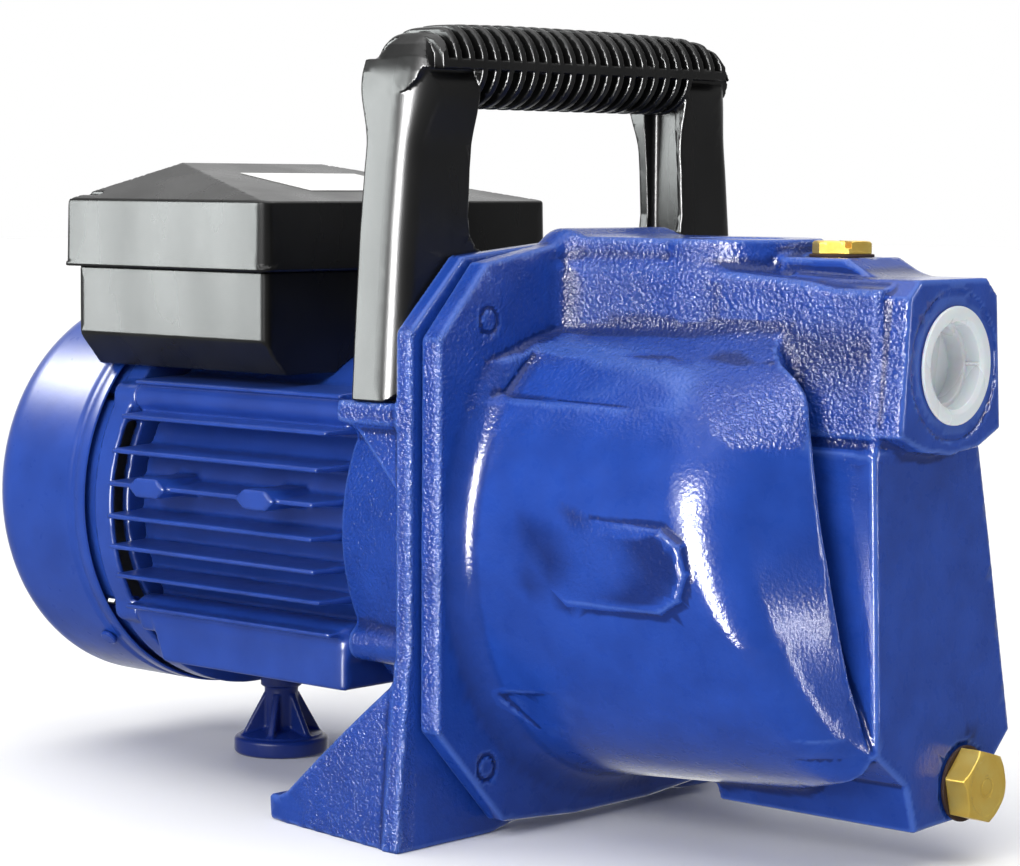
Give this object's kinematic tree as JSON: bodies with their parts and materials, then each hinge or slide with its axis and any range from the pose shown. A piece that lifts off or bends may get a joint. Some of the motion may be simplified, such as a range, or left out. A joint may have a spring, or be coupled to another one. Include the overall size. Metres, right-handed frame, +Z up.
{
  "type": "shallow well jet pump",
  "caption": "Self-priming jet pump: cast casing with suction and outlet ports, bracket with feet, finned motor, terminal box and carrying handle.",
  "frame": {"origin": "on the ground, at the middle of the length and the width", "axes": "+X along the shaft towards the suction port, +Z up"},
  "size_m": [0.3972, 0.198, 0.2756],
  "materials": {
    "cast_paint": "gloss blue paint over sand-cast iron",
    "motor_paint": "gloss blue paint over die-cast aluminium",
    "cover_paint": "gloss blue paint on drawn steel sheet",
    "foot_plastic": "satin blue moulded plastic",
    "black_plastic": "satin moulded plastic",
    "white_plastic": "moulded plastic",
    "label": "smooth blank label",
    "capacitor_case": "moulded plastic",
    "cap_plastic": "translucent moulded plastic",
    "brass": "turned",
    "fibre": "pressed fibre",
    "rubber": "matt",
    "zinc_steel": "zinc plated",
    "grey_plastic": "glass-filled plastic",
    "ceramic": "lapped ceramic",
    "carbon": "lapped carbon in rubber",
    "stainless": "ground stainless steel",
    "laminations": "stacked electrical steel",
    "aluminium": "cast",
    "copper": "enamelled copper wire",
    "bearing_steel": "ground"
  },
  "bodies": {
    "pump_body": {"cable_gland": "black_plastic", "capacitor": "capacitor_case", "casing_oring": "rubber", "diffuser": "grey_plastic", "fan_cover": "cover_paint", "fan_cover_screws": "zinc_steel", "flange_bolts": "zinc_steel", "flange_washers": "zinc_steel", "front_bearing_outer": "bearing_steel", "gland_nut": "black_plastic", "handle": "black_plastic", "handle_screws": "zinc_steel", "jet_nozzle": "grey_plastic", "lid_screws": "zinc_steel", "motor_bracket": "cast_paint", "motor_housing": "motor_paint", "pump_casing": "cast_paint", "rating_label": "label", "rear_bearing_outer": "bearing_steel", "rear_end_shield": "motor_paint", "rear_foot": "foot_plastic", "seal_seat": "ceramic", "stator_core": "laminations", "stator_windings": "copper", "terminal_block": "white_plastic", "terminal_box_base": "black_plastic", "terminal_box_lid": "black_plastic", "tie_rods": "zinc_steel", "venturi_tube": "grey_plastic", "wave_washer": "zinc_steel"},
    "rotor": {"rotor_shaft": "stainless", "rotor_core": "laminations", "rotor_end_rings": "aluminium", "front_bearing_inner": "bearing_steel", "rear_bearing_inner": "bearing_steel", "fan": "grey_plastic", "fan_clip": "zinc_steel", "impeller": "brass", "impeller_nut": "zinc_steel", "seal_head": "carbon", "seal_spring": "stainless", "slinger": "rubber"},
    "front_ball_ring": {"front_bearing_balls": "bearing_steel"},
    "rear_ball_ring": {"rear_bearing_balls": "bearing_steel"},
    "filler_seal": {"filler_plug_seal": "fibre"},
    "filler_plug": {"filler_plug": "brass"},
    "drain_seal": {"drain_plug_seal": "fibre"},
    "drain_plug": {"drain_plug": "brass"},
    "suction_cap": {"suction_cap": "cap_plastic"}
  },
  "joints": [
    {"name": "shaft_spin", "type": "hinge", "parent": "pump_body", "child": "rotor", "pos_m": [0, 0, 0.101], "axis": [1, 0, 0], "continuous": true},
    {"name": "front_ball_spin", "type": "hinge", "parent": "pump_body", "child": "front_ball_ring", "pos_m": [-0.0056, 0, 0.101], "axis": [1, 0, 0], "continuous": true},
    {"name": "rear_ball_spin", "type": "hinge", "parent": "pump_body", "child": "rear_ball_ring", "pos_m": [-0.1271, 0, 0.101], "axis": [1, 0, 0], "continuous": true},
    {"name": "filler_plug_lift", "type": "slide", "parent": "pump_body", "child": "filler_seal", "axis": [0, 0, 1], "range_m": [0, 0.0121]},
    {"name": "filler_plug_turn", "type": "hinge", "parent": "filler_seal", "child": "filler_plug", "pos_m": [0.1529, 0, 0.198], "axis": [0, 0, 1], "range_deg": [0, 3240]},
    {"name": "drain_plug_travel", "type": "slide", "parent": "pump_body", "child": "drain_seal", "axis": [1, 0, 0], "range_m": [0, 0.0135]},
    {"name": "drain_plug_turn", "type": "hinge", "parent": "drain_seal", "child": "drain_plug", "pos_m": [0.188, 0.023, 0.0258], "axis": [1, 0, 0], "range_deg": [0, 3600]},
    {"name": "suction_cap_pull", "type": "slide", "parent": "pump_body", "child": "suction_cap", "axis": [1, 0, 0], "range_m": [0, 0.0135]}
  ],
  "couplings": [
    {"joint": "front_ball_spin", "follows": "shaft_spin", "ratio": 0.402},
    {"joint": "rear_ball_spin", "follows": "shaft_spin", "ratio": 0.404},
    {"joint": "filler_plug_lift", "follows": "filler_plug_turn", "m_per_rad": 0.00021279},
    {"joint": "drain_plug_travel", "follows": "drain_plug_turn", "m_per_rad": 0.00021279}
  ]
}
